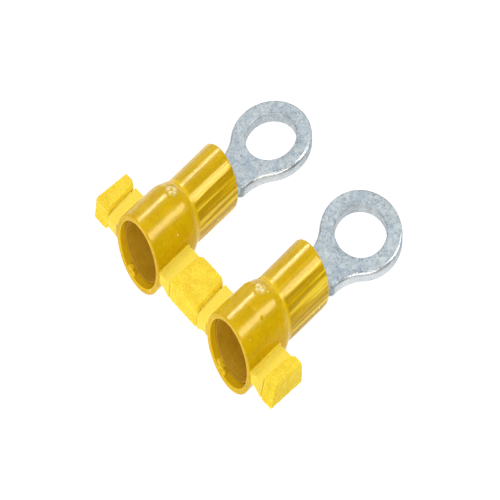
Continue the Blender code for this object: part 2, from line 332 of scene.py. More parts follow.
def sleeve_vinyl():
    """Glossy, slightly milky yellow vinyl with a whitened gate mark."""
    finish = Finish("sleeve_vinyl")
    grip_start = sleeve_frame("left").y + FLUTES_START
    cloud = finish.cloud(finish.place, 2.6 * MM, 3.0)
    fine = finish.cloud(finish.place, 0.35 * MM, 3.0)
    flow = finish.cloud(finish.place, 0.5 * MM, 2.0, 0.5, (1.0, 9.0, 1.0))
    colour = finish.mix(finish.rise(cloud, 0.35, 0.68), VINYL_DEEP, VINYL_MID)
    colour = finish.mix(finish.rise(flow, 0.45, 0.75) * 0.28, colour, VINYL_PALE)
    colour = finish.mix(finish.rise(fine, 0.50, 0.68) * 0.34, colour, VINYL_BROWN)
    grip = finish.rise(finish.split(finish.place)[1], grip_start, grip_start + 0.5 * MM)
    # Lengthwise stripes on the grips, mostly on the +X side: bright lines are painted highlights, dark lines
    # painted shade, for the light and shade of the flutes
    lines = finish.cloud(finish.place, 0.44 * MM, 1.0, 0.5, (1.0, 40.0, 1.0))
    from_left = finish.split(finish.place)[0] - sleeve_frame("left").x
    across = from_left.math("WRAP", PITCH / 2, -PITCH / 2)
    painted_flute_lines = grip * (finish.rise(across, 0.8 * MM, 2.4 * MM) * 0.85 + 0.15)
    colour = finish.mix(grip * 0.10, colour, VINYL_DULL)
    colour = finish.mix(finish.rise(lines, 0.53, 0.60) * painted_flute_lines * 0.70, colour, VINYL_FLUTE_HIGHLIGHT)
    colour = finish.mix((1.0 - finish.rise(lines, 0.42, 0.50)) * painted_flute_lines * 0.40, colour, VINYL_FLUTE_SHADE)
    white = None
    for side in SIDES:
        along, angle = GATES[side]
        away = finish.distance_from(on_sleeve(side, along, angle, WHITENED_RADIUS))
        ragged = away + (fine - 0.5) * (0.5 * MM)
        spot = 1.0 - finish.rise(ragged, 0.45 * MM, 0.95 * MM)
        white = spot if white is None else white.math("MAXIMUM", spot)
    colour = finish.mix(white * finish.rise(fine, 0.34, 0.66) * 0.9, colour, VINYL_WHITENED)
    # Painted light: the bore of each funnel, ahead of the grip, is made brighter in place of the light that
    # reaches inside
    colour = finish.mix(finish.inside_funnels() * (1.0 - grip) * 0.8, colour, VINYL_BORE_PAINTED_LIGHT)
    # Painted highlight: each flash patch is brightened where the lights glint on the lower left of the bore
    for side in SIDES:
        for along, angle, size in FLASH_AND_HIGHLIGHT_PATCHES[side]:
            away = finish.distance_from(on_sleeve(side, along * MM, math.radians(angle), BORE))
            patch = 1.0 - finish.rise(away + (fine - 0.5) * (0.5 * MM), size * 0.5 * MM, size * 1.1 * MM)
            colour = finish.mix(patch * 0.6, colour, VINYL_FLASH_HIGHLIGHT)
    dust = finish.specks(0.85 * MM, 0.10, 0.16)
    colour = finish.mix(dust * 0.7, colour, VINYL_WHITENED)
    pits = finish.specks(1.30 * MM, 0.07, 0.11)
    colour = finish.mix(pits * 0.75, colour, VINYL_PIT)
    outside = finish.beyond_sleeves()
    colour = finish.mix(outside * 0.65, colour, finish.mix(fine, LINK_PALE, LINK_LIGHT))
    rough = 0.15 + cloud * 0.10 + fine * 0.06 + white * 0.25 + outside * 0.34
    skin = finish.cloud(finish.place, 0.28 * MM, 2.0, 0.5, (1.0, 2.5, 1.0))
    broad = finish.cloud(finish.place, 1.5 * MM, 1.0)
    normal = finish.bump(skin + broad * 1.6 + white * fine * 2.2 - pits * 2.0 + dust * 1.4, 0.006 * MM)
    return finish.surface(
        Base_Color=colour, Roughness=rough, Normal=normal, IOR=1.42, Specular_IOR_Level=0.42,
        Specular_Tint=VINYL_SHEEN,
        Subsurface_Weight=0.35, Subsurface_Radius=(1.0, 0.55, 0.08), Subsurface_Scale=0.30 * MM,
    )


def link_vinyl():
    """The same vinyl with a grained, dull skin."""
    finish = Finish("link_vinyl")
    cloud = finish.cloud(finish.place, 1.3 * MM, 3.0)
    fine = finish.cloud(finish.place, 0.22 * MM, 4.0, 0.6)
    grit = finish.cloud(finish.place, 0.15 * MM, 2.0)
    colour = finish.mix(finish.rise(cloud, 0.3, 0.7), LINK_DEEP, LINK_PALE)
    colour = finish.mix(finish.rise(fine, 0.42, 0.70) * 0.6, colour, LINK_SHADE)
    colour = finish.mix(finish.rise(grit, 0.56, 0.70) * 0.6, colour, LINK_LIGHT)
    rough = 0.40 + cloud * 0.16 + fine * 0.12
    normal = finish.bump(fine + grit * 0.8 + cloud * 1.2, 0.05 * MM)
    return finish.surface(
        Base_Color=colour, Roughness=rough, Normal=normal, IOR=1.5, Specular_Tint=VINYL_SHEEN,
        Subsurface_Weight=0.35, Subsurface_Radius=(1.0, 0.55, 0.08), Subsurface_Scale=0.45 * MM,
    )


def tin_plate():
    """Dull, mottled tin over copper, with the marks of the tumbling barrel, and edges brightened partly as
    burnish and partly as painted highlight.
    """
    finish = Finish("tin_plate")
    cloud = finish.cloud(finish.place, 1.4 * MM, 4.0, 0.6)
    fine = finish.cloud(finish.place, 0.30 * MM, 4.0, 0.65)
    grit = finish.cloud(finish.place, 0.13 * MM, 3.0, 0.6)
    cells = {"Vector": finish.place, "Scale": 1.0 / (0.55 * MM)}
    crystal = finish.node("ShaderNodeTexVoronoi", {"feature": "F1"}, cells, "Color")
    crystal = finish.split(crystal)[1]
    draw = finish.cloud(finish.place, 0.16 * MM, 2.0, 0.5, (1.0, 1.0, 14.0))
    colour = finish.mix(finish.rise(cloud, 0.32, 0.68), TIN_BLUE, TIN_GREY)
    colour = finish.mix(finish.rise(crystal, 0.3, 1.0) * 0.35, colour, TIN_PALE)
    colour = finish.mix(finish.rise(fine, 0.50, 0.70) * 0.60, colour, TIN_DARK)
    colour = finish.mix(finish.rise(grit, 0.54, 0.70) * 0.62, colour, TIN_PALE)
    edges = finish.node("ShaderNodeAttribute", {"attribute_name": "burnish_and_highlight"}, None, "Fac")
    # Partly real burnish, partly painted highlight and painted reflection: the marked edges and walls are
    # mixed towards bright tin
    colour = finish.mix(edges * 0.95, colour, TIN_BURNISHED_HIGHLIGHT)
    rough = (0.42 + fine * 0.16 + crystal * 0.08) * (1.0 - edges * 0.5)
    skin = fine * 1.4 + grit * 0.9 + cloud * 1.5 + draw * 0.5
    normal = finish.bump(skin * (1.0 - edges * 0.75), 0.026 * MM)
    return finish.surface(Base_Color=colour, Roughness=rough, Normal=normal, Metallic=0.92)


def grip_brass():
    """Thin drawn brass, dull inside the yellow funnel."""
    finish = Finish("grip_brass")
    cloud = finish.cloud(finish.place, 1.6 * MM, 3.0)
    fine = finish.cloud(finish.place, 0.20 * MM, 3.0)
    drawn = finish.cloud(finish.place, 0.25 * MM, 2.0, 0.5, (1.0, 12.0, 1.0))
    colour = finish.mix(finish.rise(cloud, 0.3, 0.7), BRASS_DEEP, BRASS_MID)
    colour = finish.mix(finish.rise(drawn, 0.5, 0.75) * 0.4, colour, BRASS_PALE)
    # Painted shade: the rolled front edge is darkened so that its highlight is damped
    front = sleeve_frame("left").y + GRIP_START
    edge = 1.0 - finish.rise(finish.split(finish.place)[1], front + 0.08 * MM, front + 0.22 * MM)
    colour = finish.mix(edge * 0.8, colour, BRASS_EDGE_SHADE)
    rough = 0.42 + fine * 0.2 + cloud * 0.12
    normal = finish.bump(drawn * 0.5 + fine * 0.5, 0.012 * MM)
    return finish.surface(Base_Color=colour, Roughness=rough, Normal=normal, Metallic=0.35)


# Turned pieces, grown by a node tree from a profile

def new_group(name, inputs):
    """An empty tree that makes one piece, and its inputs by name."""
    group = bpy.data.node_groups.new(name, "GeometryNodeTree")
    group.is_modifier = True
    for label, kind in inputs.items():
        group.interface.new_socket(name=label, in_out="INPUT", socket_type="NodeSocket" + kind)
    group.interface.new_socket(name="Piece", in_out="OUTPUT", socket_type="NodeSocketGeometry")
    tree = Tree(group)
    given = tree.node("NodeGroupInput").socket.node.outputs
    return tree, {socket.name: Value(tree, socket) for socket in given if socket.name}


def end_group(tree, shape, finish):
    real = tree.node("GeometryNodeRealizeInstances", None, {"Geometry": shape})
    done = tree.node("GeometryNodeSetMaterial", None, {"Geometry": real, "Material": finish})
    tree.node("NodeGroupOutput", None, {"Piece": done})
    return tree.tree


def turned_tree():
    """Turn the profile's points about +Y; each point holds radius, along and flute share."""
    tree, given = new_group("turned_piece", {
        "Profile": "Geometry", "Facets": "Int", "Flute Depth": "Float", "Flutes Round": "Float",
        "Flute Side": "Float", "Seed": "Float", "Finish": "Material",
    })
    profile = {"Geometry": given["Profile"]}
    rows = tree.node("GeometryNodeAttributeDomainSize", {"component": "MESH"}, profile, "Point Count")
    grid = tree.node(
        "GeometryNodeMeshGrid", None,
        {"Size X": 1.0, "Size Y": 1.0, "Vertices X": given["Facets"] + 1.0, "Vertices Y": rows + 1.0},
    )
    across, down, _ = tree.split(tree.node("GeometryNodeInputPosition"))
    angle = across * (2 * math.pi)
    row = ((down + 0.5) * rows).math("ROUND").math("MODULO", rows)
    position = tree.node("GeometryNodeInputPosition")
    found = tree.node(
        "GeometryNodeSampleIndex", {"data_type": "FLOAT_VECTOR", "domain": "POINT"},
        {"Geometry": given["Profile"], "Value": position, "Index": row},
    )
    radius, along, share = tree.split(found)
    cosine = angle.math("COSINE")
    sine = angle.math("SINE")
    turns = given["Flutes Round"] / (2 * math.pi)
    around = tree.join(cosine * turns, sine * turns, given["Seed"])
    ridges = tree.cloud(around, 1.0)
    facing = tree.rise((angle - given["Flute Side"]).math("COSINE"), 0.60, 0.93)
    lift = given["Flute Depth"] * share * (facing * 0.92 + 0.08) * (ridges - 0.5) * 2.0
    radius = radius + lift
    place = tree.join(radius * cosine, along, radius * sine)
    shaped = tree.node("GeometryNodeSetPosition", None, {"Geometry": grid, "Position": place})
    closed = tree.node("GeometryNodeMergeByDistance", None, {"Geometry": shaped, "Distance": MERGE})
    smooth = tree.node("GeometryNodeSetShadeSmooth", None, {"Geometry": closed, "Shade Smooth": True})
    return end_group(tree, smooth, given["Finish"])


def serration_tree():
    """Press grooves into the inside of a barrel about +Y, at even steps."""
    tree, given = new_group("barrel_serrations", {
        "Terminal": "Geometry", "First Groove": "Float", "Groove Step": "Float", "Grooves": "Float",
        "Groove Depth": "Float", "Inside Radius": "Float", "Finish": "Material",
    })
    x, y, z = tree.split(tree.node("GeometryNodeInputPosition"))
    radius = (x * x + z * z).math("SQRT")
    inside = 1.0 - tree.rise(radius, given["Inside Radius"], given["Inside Radius"] + 0.3 * MM)
    count = (y - given["First Groove"]) / given["Groove Step"]
    within = count.math("GREATER_THAN", -0.5) * count.math("LESS_THAN", given["Grooves"] - 0.5)
    away = (count - count.math("ROUND")).math("ABSOLUTE")
    groove = (1.0 - tree.rise(away, 0.12, 0.26)) * within * inside * given["Groove Depth"]
    grown = 1.0 + groove / (radius + MERGE)
    sockets = {"Geometry": given["Terminal"], "Position": tree.join(x * grown, y, z * grown)}
    shaped = tree.node("GeometryNodeSetPosition", None, sockets)
    return end_group(tree, shaped, given["Finish"])


def holder_of(mesh):
    holder = bpy.data.objects.new("start", mesh)
    bpy.context.scene.collection.objects.link(holder)
    return holder


def grown_mesh(start, group, values):
    """The mesh that a node tree makes from a start mesh, with its inputs set by name."""
    holder = holder_of(start)
    modifier = holder.modifiers.new("grow", "NODES")
    modifier.node_group = group
    for item in group.interface.items_tree:
        if item.in_out == "INPUT" and item.name in values:
            modifier[item.identifier] = values[item.name]
    return settled(holder)


def settled(holder):
    """Turn an object with live modifiers into a plain mesh, and drop the object."""
    graph = bpy.context.evaluated_depsgraph_get()
    graph.update()
    mesh = bpy.data.meshes.new_from_object(holder.evaluated_get(graph))
    holder.modifiers.clear()
    bpy.data.objects.remove(holder, do_unlink=True)
    return mesh


def point_mesh(points):
    mesh = bpy.data.meshes.new("profile")
    mesh.from_pydata([tuple(point) for point in points], [], [])
    return mesh


def closed_outward(mesh):
    """Merge doubles, then point the faces outwards."""
    bm = bmesh.new()
    bm.from_mesh(mesh)
    bmesh.ops.remove_doubles(bm, verts=bm.verts, dist=MERGE)
    bmesh.ops.recalc_face_normals(bm, faces=bm.faces)
    bm.to_mesh(mesh)
    bm.free()


def arc(centre, radius, start, end, count):
    """Points of (along, radius) round a corner, angles from +along towards +radius."""
    points = []
    for index in range(count + 1):
        angle = math.radians(blend(start, end, index / count))
        points.append((centre[0] + radius * math.cos(angle), centre[1] + radius * math.sin(angle)))
    return points


def through(points, spacing):
    """Points on a smooth curve through the given ones, about evenly spaced."""
    padded = [points[0]] + list(points) + [points[-1]]
    result = []
    for index in range(1, len(padded) - 2):
        before, first, second, after = (Vector(point) for point in padded[index - 1:index + 3])
        count = max(1, round((second - first).length / spacing))
        for step in range(count):
            t = step / count
            part = 2 * first + (second - before) * t
            part += (2 * before - 5 * first + 4 * second - after) * t * t
            part += (3 * first - 3 * second + after - before) * t ** 3
            result.append(tuple(part / 2))
    result.append(tuple(points[-1]))
    return result


# Outside of the shoulder, from the funnel down to the barrel section, as (along, radius)
SHOULDER = (
    (6.1, 3.93), (6.4, 3.912), (6.73, 3.855), (7.0, 3.765), (7.25, 3.61), (7.42, 3.46), (7.52, 3.37),
    (7.60, 3.338), (7.8, 3.332), (8.3, 3.332),
)
SHOULDER_SINK = 0.20 * MM


def sleeve_profile():
    """Closed profile of (radius, along, flute share)."""
    outer = arc((LIP_ROUND, MOUTH_RADIUS - LIP_ROUND), LIP_ROUND, 180, 90, 5)
    funnel = [(LIP_ROUND + 0.03 * MM, MOUTH_RADIUS), (4.5 * MM, 3.972 * MM), (FUNNEL_END, SHOULDER_RADIUS)]
    outer += through(funnel, 0.085 * MM)
    outer += through([(along * MM, radius * MM) for along, radius in SHOULDER], 0.06 * MM)[1:]
    barrel = [(8.35 * MM, 3.334 * MM), (12.0 * MM, 3.36 * MM), (SLEEVE_END - END_ROUND, BARREL_SKIN)]
    outer += through(barrel, 0.22 * MM)
    outer += arc((SLEEVE_END - END_ROUND, BARREL_SKIN - END_ROUND), END_ROUND, 84, 0, 8)
    inner = arc((SLEEVE_END - END_EASE, BARREL_BORE + END_EASE), END_EASE, 360, 270, 4)
    inner += [(along * MM, BARREL_BORE) for along in (13.0, 10.5, 8.2)]
    inner.append((7.0 * MM, BARREL_BORE + 0.02 * MM))
    inner += [(along * MM, BORE) for along in (5.95, 4.6, 3.2, 1.8)]
    inner += [((1.3 - 0.08 * step) * MM, BORE) for step in range(15)]
    inner += arc((LIP_EASE, BORE + LIP_EASE), LIP_EASE, 270, 180, 3)
    rows = []
    for along, radius in outer:
        share = smooth_step(along, FLUTES_START, 8.7 * MM) * (1.0 - smooth_step(along, 13.6 * MM, 14.7 * MM))
        rows.append((radius, along, share))
    rows += [(radius, along, 0.0) for along, radius in inner]
    return rows


def flash_height(place, side):
    """How far the ragged flash on the lower left of a funnel's mouth stands in from its wall."""
    height = 0.0
    for along, angle, size in FLASH_AND_HIGHLIGHT_PATCHES[side]:
        centre = round_axis(along * MM, math.radians(angle), BORE)
        ragged = (place - centre).length + noise.noise(place / (0.28 * MM)) * 0.22 * MM
        height = max(height, smooth_step(ragged, size * MM, size * MM * 0.55) * 0.16 * MM)
    return height * smooth_step(place.y, 0.12 * MM, 0.3 * MM)


def mark_sleeve(mesh, side):
    """Raise the gate mark and the specks on a sleeve's outside."""
    gate_along, gate_angle = GATES[side]
    gate = round_axis(gate_along, gate_angle, SHOULDER_RADIUS)
    nibs = []
    for along, angle, size, height in NIBS[side]:
        nibs.append((round_axis(along * MM, math.radians(angle), NIB_RADIUS), size * MM, height * MM))
    for vertex in mesh.vertices:
        place = vertex.co
        radius = math.hypot(place.x, place.z)
        if radius < 3.3 * MM:
            continue
        outward = Vector((place.x, 0.0, place.z)) / radius
        if radius < BORE + 0.05 * MM:
            vertex.co = place - outward * flash_height(place, side)
            continue
        away = (place - gate).length
        angle = math.degrees(math.atan2(place.z, place.x))
        sunk = smooth_step(angle, 62.0, 96.0) * smooth_step(angle, 178.0, 150.0)
        sunk *= smooth_step(place.y, 5.5 * MM, 6.7 * MM) * smooth_step(place.y, 7.62 * MM, 7.2 * MM)
        lift = -SHOULDER_SINK * sunk
        if away < 1.4 * MM and radius > 3.5 * MM:
            rag = noise.noise(place / (0.45 * MM)) * 0.07 * MM
            rim = smooth_step(away + rag, GATE_RADIUS + 0.10 * MM, GATE_RADIUS - 0.16 * MM)
            dish = smooth_step(away, 0.42 * MM, 0.12 * MM)
            rough = noise.noise(place / (0.16 * MM)) * 0.035 * MM * smooth_step(away, 0.66 * MM, 0.3 * MM)
            lift += rim * 0.115 * MM - dish * 0.08 * MM + rough
        for centre, size, height in nibs:
            away = (place - centre).length
            if away < 2 * size and radius > 3.6 * MM:
                lift += height * smooth_step(away, size * 1.35, size * 0.35)
        if lift:
            vertex.co = place + outward * lift
    mesh.update()


# Webs

def web_section(tip, flare, ledge):
    """Cross-section of a web from its root in the funnel wall to its tip, as (across, height)."""
    wall = math.sqrt(MOUTH_RADIUS ** 2 - WEB_HALF ** 2)
    top = [
        (WEB_ROOT, WEB_HALF + LEDGE_HEIGHT * ledge), (wall + 0.20 * MM, WEB_HALF + LEDGE_HEIGHT * ledge),
        (wall + 0.29 * MM, WEB_HALF + 0.13 * MM * ledge), (wall + 0.36 * MM, WEB_HALF - 0.08 * MM * ledge),
        (wall + 0.47 * MM, WEB_HALF - 0.10 * MM * ledge), (wall + 0.62 * MM, WEB_HALF - 0.01 * MM * ledge),
        (tip, WEB_HALF),
    ]
    under = []
    for step in range(7):
        share = step / 6
        under.append((tip - share * FLARE_REACH, -WEB_HALF - flare * (1.0 - smooth_step(share, 0.0, 1.0))))
    under += [(wall + 0.1 * MM, -WEB_HALF - 0.06 * MM), (WEB_ROOT, -WEB_HALF - 0.10 * MM)]
    return top + under


# For each web: how far its underside swells down to its block, the height share of the
# ledge and score beside the sleeve, and how far its front leans back at the block's top
WEBS = {
    ("left", -1): (0.05 * MM, 0.8, 0.3 * MM), ("left", 1): (0.47 * MM, 1.0, 0.2 * MM),
    ("right", -1): (0.47 * MM, 0.0, 0.2 * MM), ("right", 1): (0.47 * MM, 1.0, 0.85 * MM),
}


def block_half(along):
    return blend(BLOCK_FRONT_HALF, BLOCK_BACK_HALF, along / BLOCK_DEPTH)


def web_tip(along):
    return PITCH / 2 - block_half(along) - WEB_GAP


def lofted(sections):
    """Closed mesh through plan or cross sections of equal counts, each a list of points."""
    bm = bmesh.new()
    rings = [[bm.verts.new(point) for point in section] for section in sections]
    for near, far in zip(rings, rings[1:]):
        for index in range(len(near)):
            after = (index + 1) % len(near)
            bm.faces.new((near[index], near[after], far[after], far[index]))
    bm.faces.new(list(reversed(rings[0])))
    bm.faces.new(rings[-1])
    bmesh.ops.recalc_face_normals(bm, faces=bm.faces)
    mesh = bpy.data.meshes.new("loft")
    bm.to_mesh(mesh)
    bm.free()
    return mesh


def web_mesh(direction, flare, ledge, lean):
    """A web that grows out of the funnel wall, in the sleeve's own terms."""
    sections = []
    steps = (
        (0.015 * MM, WEB_EASE), (0.03 * MM + WEB_EASE, 0.0), (WEB_DEPTH / 2, 0.0),
        (WEB_DEPTH - WEB_EASE, 0.0), (WEB_DEPTH, WEB_EASE),
    )
    for along, inset in steps:
        section = []
        for across, height in web_section(web_tip(along), flare, ledge):
            height -= math.copysign(inset, height)
            near_block = smooth_step(across, MOUTH_RADIUS + 0.1 * MM, web_tip(along))
            near_front = max(0.0, 1.0 - along / (WEB_DEPTH / 2))
            back = lean * near_block * near_front * (height + BLOCK_HALF_HEIGHT) / (2 * BLOCK_HALF_HEIGHT)
            section.append((direction * across, along + back, height))
        sections.append(section)
    return lofted(sections)


def tab_mesh(direction):
    """The tab that a block is moulded round."""
    low = web_tip(TAB_BACK) - TAB_ROOT
    high = web_tip(TAB_BACK) + TAB_REACH
    ease = WEB_EASE
    steps = ((TAB_FRONT, ease), (TAB_FRONT + ease, 0.0), (TAB_BACK - ease, 0.0), (TAB_BACK, ease))
    sections = []
    for along, inset in steps:
        half = WEB_HALF - TAB_RELIEF - inset
        corners = (
            (low, -half), (high - ease, -half), (high, -half + ease),
            (high, half - ease), (high - ease, half), (low, half),
        )
        sections.append([(direction * across, along, height) for across, height in corners])
    return lofted(sections)


def combined(base, others, operation):
    """Boolean of a mesh with others, as a new plain mesh."""
    holder = holder_of(base)
    cutters = []
    for other in others:
        cutter = holder_of(other)
        cutters.append(cutter)
        step = holder.modifiers.new("step", "BOOLEAN")
        step.operation = operation
        step.solver = "EXACT"
        step.object = cutter
    mesh = settled(holder)
    for cutter in cutters:
        bpy.data.objects.remove(cutter, do_unlink=True)
    return mesh


def add_piece(name, mesh, offset, node, material, sharp=None):
    """Place a finished mesh, and let it stand for its CAD node. Edges over sharp degrees stay crisp."""
    mesh.transform(Matrix.Translation(offset))
    mesh.materials.clear()
    mesh.materials.append(material)
    for polygon in mesh.polygons:
        polygon.use_smooth = True
        polygon.material_index = 0
    if sharp:
        mesh.set_sharp_from_angle(angle=math.radians(sharp))
    mesh.name = name
    piece = bpy.data.objects.new(name, mesh)
    bpy.context.scene.collection.objects.link(piece)
    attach(piece, "root")
    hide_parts(node)


# Depth and seed of each sleeve's flutes, and seed of each grip sleeve's dents
FLUTES = {"left": (0.11 * MM, 11.7), "right": (0.13 * MM, 4.3)}
GRIP_SEEDS = {"left": 7.9, "right": 2.1}


def add_sleeve(side, turned, material):
    depth, seed = FLUTES[side]
    values = {
        "Facets": FACETS, "Flute Depth": depth, "Flutes Round": 70.0,
        "Flute Side": math.radians(8.0), "Seed": seed, "Finish": material,
    }
    mesh = grown_mesh(point_mesh(sleeve_profile()), turned, values)
    closed_outward(mesh)
    mark_sleeve(mesh, side)
    extras = []
    for direction in (-1, 1):
        extras += [web_mesh(direction, *WEBS[side, direction]), tab_mesh(direction)]
    mesh = combined(mesh, extras, "UNION")
    node = "insulator_" + side
    add_piece("moulded_sleeve_" + side, mesh, sleeve_frame(side), node, material, 32)


def grip_profile():
    """Closed profile of the thin grip sleeve: rolled front edge, ribs, cone and throat."""
    round_front = GRIP_WALL / 2
    bore = GRIP_RADIUS - GRIP_WALL
    outside = [(7.0 * MM, 1.95 * MM + GRIP_WALL * 0.8), (6.4 * MM, 2.72 * MM)]
    outside.append((5.85 * MM, GRIP_RADIUS - 0.06 * MM))
    outside += [(along * MM, GRIP_RADIUS) for along in (5.6, 3.4, 1.4)]
    front = arc((GRIP_START + round_front, GRIP_RADIUS - round_front), round_front, 90, 270, 6)
    inside = []
    count = 60
    for index in range(1, count):
        along = blend(GRIP_START + round_front, 5.7 * MM, index / count)
        rib = 0.5 + 0.5 * math.cos(2 * math.pi * (along - 1.7 * MM) / RIB_STEP)
        rib *= smooth_step(along, 1.5 * MM, 1.9 * MM) * smooth_step(along, 5.3 * MM, 4.9 * MM)
        inside.append((along, bore + RIB_HEIGHT * rib))
    inside.append((5.8 * MM, bore - 0.02 * MM))
    inside += [(along * MM, radius * MM) for along, radius in ((6.1, 2.78), (6.6, 2.22), (6.95, 1.96))]
    rows = [(radius, along, 0.0) for along, radius in outside + front]
    return rows + [(radius, along, 1.0) for along, radius in inside]


def add_grip_sleeve(side, turned, material):
    values = {
        "Facets": 180, "Flute Depth": 0.05 * MM, "Flutes Round": 9.0, "Flute Side": math.radians(180.0),
        "Seed": GRIP_SEEDS[side], "Finish": material,
    }
    mesh = grown_mesh(point_mesh(grip_profile()), turned, values)
    closed_outward(mesh)
    node = "grip_sleeve_" + side
    add_piece("brass_grip_" + side, mesh, sleeve_frame(side), node, material, 50)


# Link blocks

BLOCKS = {
    # node: place in pitches, cut faces by side as (front, back), lean of the front, seed
    "link_block_middle": (0, {}, 0.2 * MM, 3.0),
    "end_block_left": (-1, {-1: (0.2 * MM, 0.55 * MM)}, 0.3 * MM, 8.0),
    "end_block_right": (1, {1: (-0.65 * MM, -0.4 * MM)}, 0.85 * MM, 15.0),
}

# The broken corner: a point on the break, and the way it faces
CHIP_POINT = Vector((-0.98, 0.42, 1.1)) * MM
CHIP_FACING = Vector((0.70, -0.52, 0.49)).normalized()

# Grain of the skin as (size, height) in mm, and how far a cut face is scored and torn
GRAIN = ((0.9, 0.022), (0.30, 0.020), (0.14, 0.008))
SCORE_HEIGHT = 0.05 * MM
TEAR_HEIGHT = 0.04 * MM


def block_plan(level, cuts, lean):
    """Plan outline of a block at a height above the sleeves' axes."""
    inset = BLOCK_DRAFT * max(abs(level) - WEB_HALF, 0.0) / (BLOCK_HALF_HEIGHT - WEB_HALF)
    front = lean * (level + BLOCK_HALF_HEIGHT) / (2 * BLOCK_HALF_HEIGHT)
    sides = {}
    for side in (-1, 1):
        if side in cuts:
            sides[side] = (*cuts[side], CUT_CHAMFER)
        else:
            halves = (BLOCK_FRONT_HALF - inset, BLOCK_BACK_HALF - inset)
            sides[side] = (side * halves[0], side * halves[1], BLOCK_CHAMFER)
    back = BLOCK_DEPTH - inset / 2
    left_front, left_back, left_chamfer = sides[-1]
    right_front, right_back, right_chamfer = sides[1]
    return [
        (left_front, front, level), (right_front, front, level), (right_back, back - right_chamfer, level),
        (right_back - right_chamfer, back, level), (left_back + left_chamfer, back, level),
        (left_back, back - left_chamfer, level),
    ]


def pocket_mesh(side):
    """The pocket round a tab, from the block's middle."""
    tab_tip = PITCH / 2 - web_tip(TAB_BACK) - TAB_REACH
    inner = side * (tab_tip - CLEARANCE)
    outer = side * POCKET_MOUTH
    low, high = TAB_FRONT - CLEARANCE, TAB_BACK + CLEARANCE
    half = WEB_HALF + CLEARANCE
    outline = ((inner, low), (outer, low), (outer, high), (inner, high))
    return lofted([[(x, y, level) for x, y in outline] for level in (-half, half)])


def block_mesh(cuts, lean, seed):
    """A grained block: lofted, eased, pocketed for the tabs, then its skin roughened."""
    levels = (-BLOCK_HALF_HEIGHT, -WEB_HALF, WEB_HALF, BLOCK_HALF_HEIGHT)
    holder = holder_of(lofted([block_plan(level, cuts, lean) for level in levels]))
    ease = holder.modifiers.new("ease", "BEVEL")
    ease.width = BLOCK_EASE
    ease.segments = 3
    ease.limit_method = "ANGLE"
    mesh = settled(holder)
    if 1 in cuts:
        chip_corner(mesh)
    pockets = [pocket_mesh(side) for side in (-1, 1) if side not in cuts]
    mesh = combined(mesh, pockets, "DIFFERENCE")
    holder = holder_of(mesh)
    skin = holder.modifiers.new("skin", "REMESH")
    skin.mode = "VOXEL"
    skin.voxel_size = SKIN_CELL
    mesh = settled(holder)
    roughen(mesh, cuts, seed)
    return mesh


def chip_corner(mesh):
    """Break the cut block's front corner away at a slant."""
    bm = bmesh.new()
    bm.from_mesh(mesh)
    parts = list(bm.verts) + list(bm.edges) + list(bm.faces)
    cut = bmesh.ops.bisect_plane(bm, geom=parts, plane_co=CHIP_POINT, plane_no=CHIP_FACING, clear_outer=True)
    edges = [item for item in cut["geom_cut"] if isinstance(item, bmesh.types.BMEdge)]
    bmesh.ops.contextual_create(bm, geom=edges)
    bmesh.ops.recalc_face_normals(bm, faces=bm.faces)
    bm.to_mesh(mesh)
    bm.free()


def roughen(mesh, cuts, seed):
    """Move a block's skin by its grain, and tear the cut face along the shear's direction."""
    offset = Vector((seed, seed * 0.7, seed * 1.3))
    normals = [Vector(item.vector) for item in mesh.vertex_normals]
    moved = []
    for vertex, normal in zip(mesh.vertices, normals):
        place = vertex.co
        lift = sum(noise.noise(place / (size * MM) + offset) * height * MM for size, height in GRAIN)
        for side in cuts:
            if normal.x * side > 0.8:
                scored = Vector((place.x, place.y / 0.22, place.z / 1.4)) / MM + offset
                lift += noise.noise(scored) * SCORE_HEIGHT
                lift += noise.noise(place / (0.5 * MM) + offset * 2) * TEAR_HEIGHT
        moved.append(place + normal * lift)
    for vertex, place in zip(mesh.vertices, moved):
        vertex.co = place
    mesh.update()


def add_block(node, material):
    place, cuts, lean, seed = BLOCKS[node]
    centre = (sleeve_frame("left") + sleeve_frame("right")) / 2 + Vector((PITCH * place, 0.0, 0.0))
    name = "grained_" + node.replace("_block", "")
    add_piece(name, block_mesh(cuts, lean, seed), centre, node, material)


# Ring terminal: a flat blank with a ring, rolled up behind it into the wire barrel

BARREL_START = 7.3 * MM
BARREL_END = 13.2 * MM
TRIM = 1.4 * MM
FLATTEN_START = 14.75 * MM
FLATTEN_END = 16.45 * MM
TONGUE_DROP = 0.82 * MM
TONGUE_HALF = 2.7 * MM
FILLET = 6.0 * MM
RING_CENTRE = 23.72 * MM
HOLE_RADIUS = 3.4 * MM
RING_RADIUS = 5.45 * MM
RING_JOIN = RING_CENTRE - HOLE_RADIUS - 1.9 * MM
COLUMNS = 36
EDGE_STEP = 0.85
EDGE_ROLL = 0.28 * MM
ROLL = {"left": math.radians(-7.6), "right": 0.0}


def fillet_centre():
    across = TONGUE_HALF + FILLET
    reach = RING_RADIUS + FILLET
    return across, RING_CENTRE - math.sqrt(reach * reach - across * across)


def blank_half(along):
    rolled = math.pi * BARREL_MEAN - SEAM_GAP / 2
    width = blend(rolled, TONGUE_HALF, smooth_step(along, BARREL_END, BARREL_END + TRIM))
    across, start = fillet_centre()
    if along > start:
        width = across - math.sqrt(FILLET ** 2 - (along - start) ** 2)
    return width


def column_share(column):
    """Place of a column across the blank, from -1 to 1, with a wider step at both edges."""
    if column in (0, COLUMNS):
        return -1.0 if column == 0 else 1.0
    return EDGE_STEP * (2.0 * (column - 1) / (COLUMNS - 2) - 1.0)


def rolled_row(along):
    """Middle of the sheet across the blank, rolled up to its curvature there."""
    flat_share = smooth_step(along, FLATTEN_START, FLATTEN_END)
    curvature = (1.0 - flat_share) / BARREL_MEAN
    lowest = blend(-BARREL_MEAN, -TONGUE_DROP - STOCK / 2, flat_share)
    half = blank_half(along)
    row = []
    for column in range(COLUMNS + 1):
        across = half * column_share(column)
        if curvature * half < MERGE:
            row.append((across, along, lowest))
            continue
        turn = curvature * across
        row.append((math.sin(turn) / curvature, along, lowest + (1.0 - math.cos(turn)) / curvature))
    return row


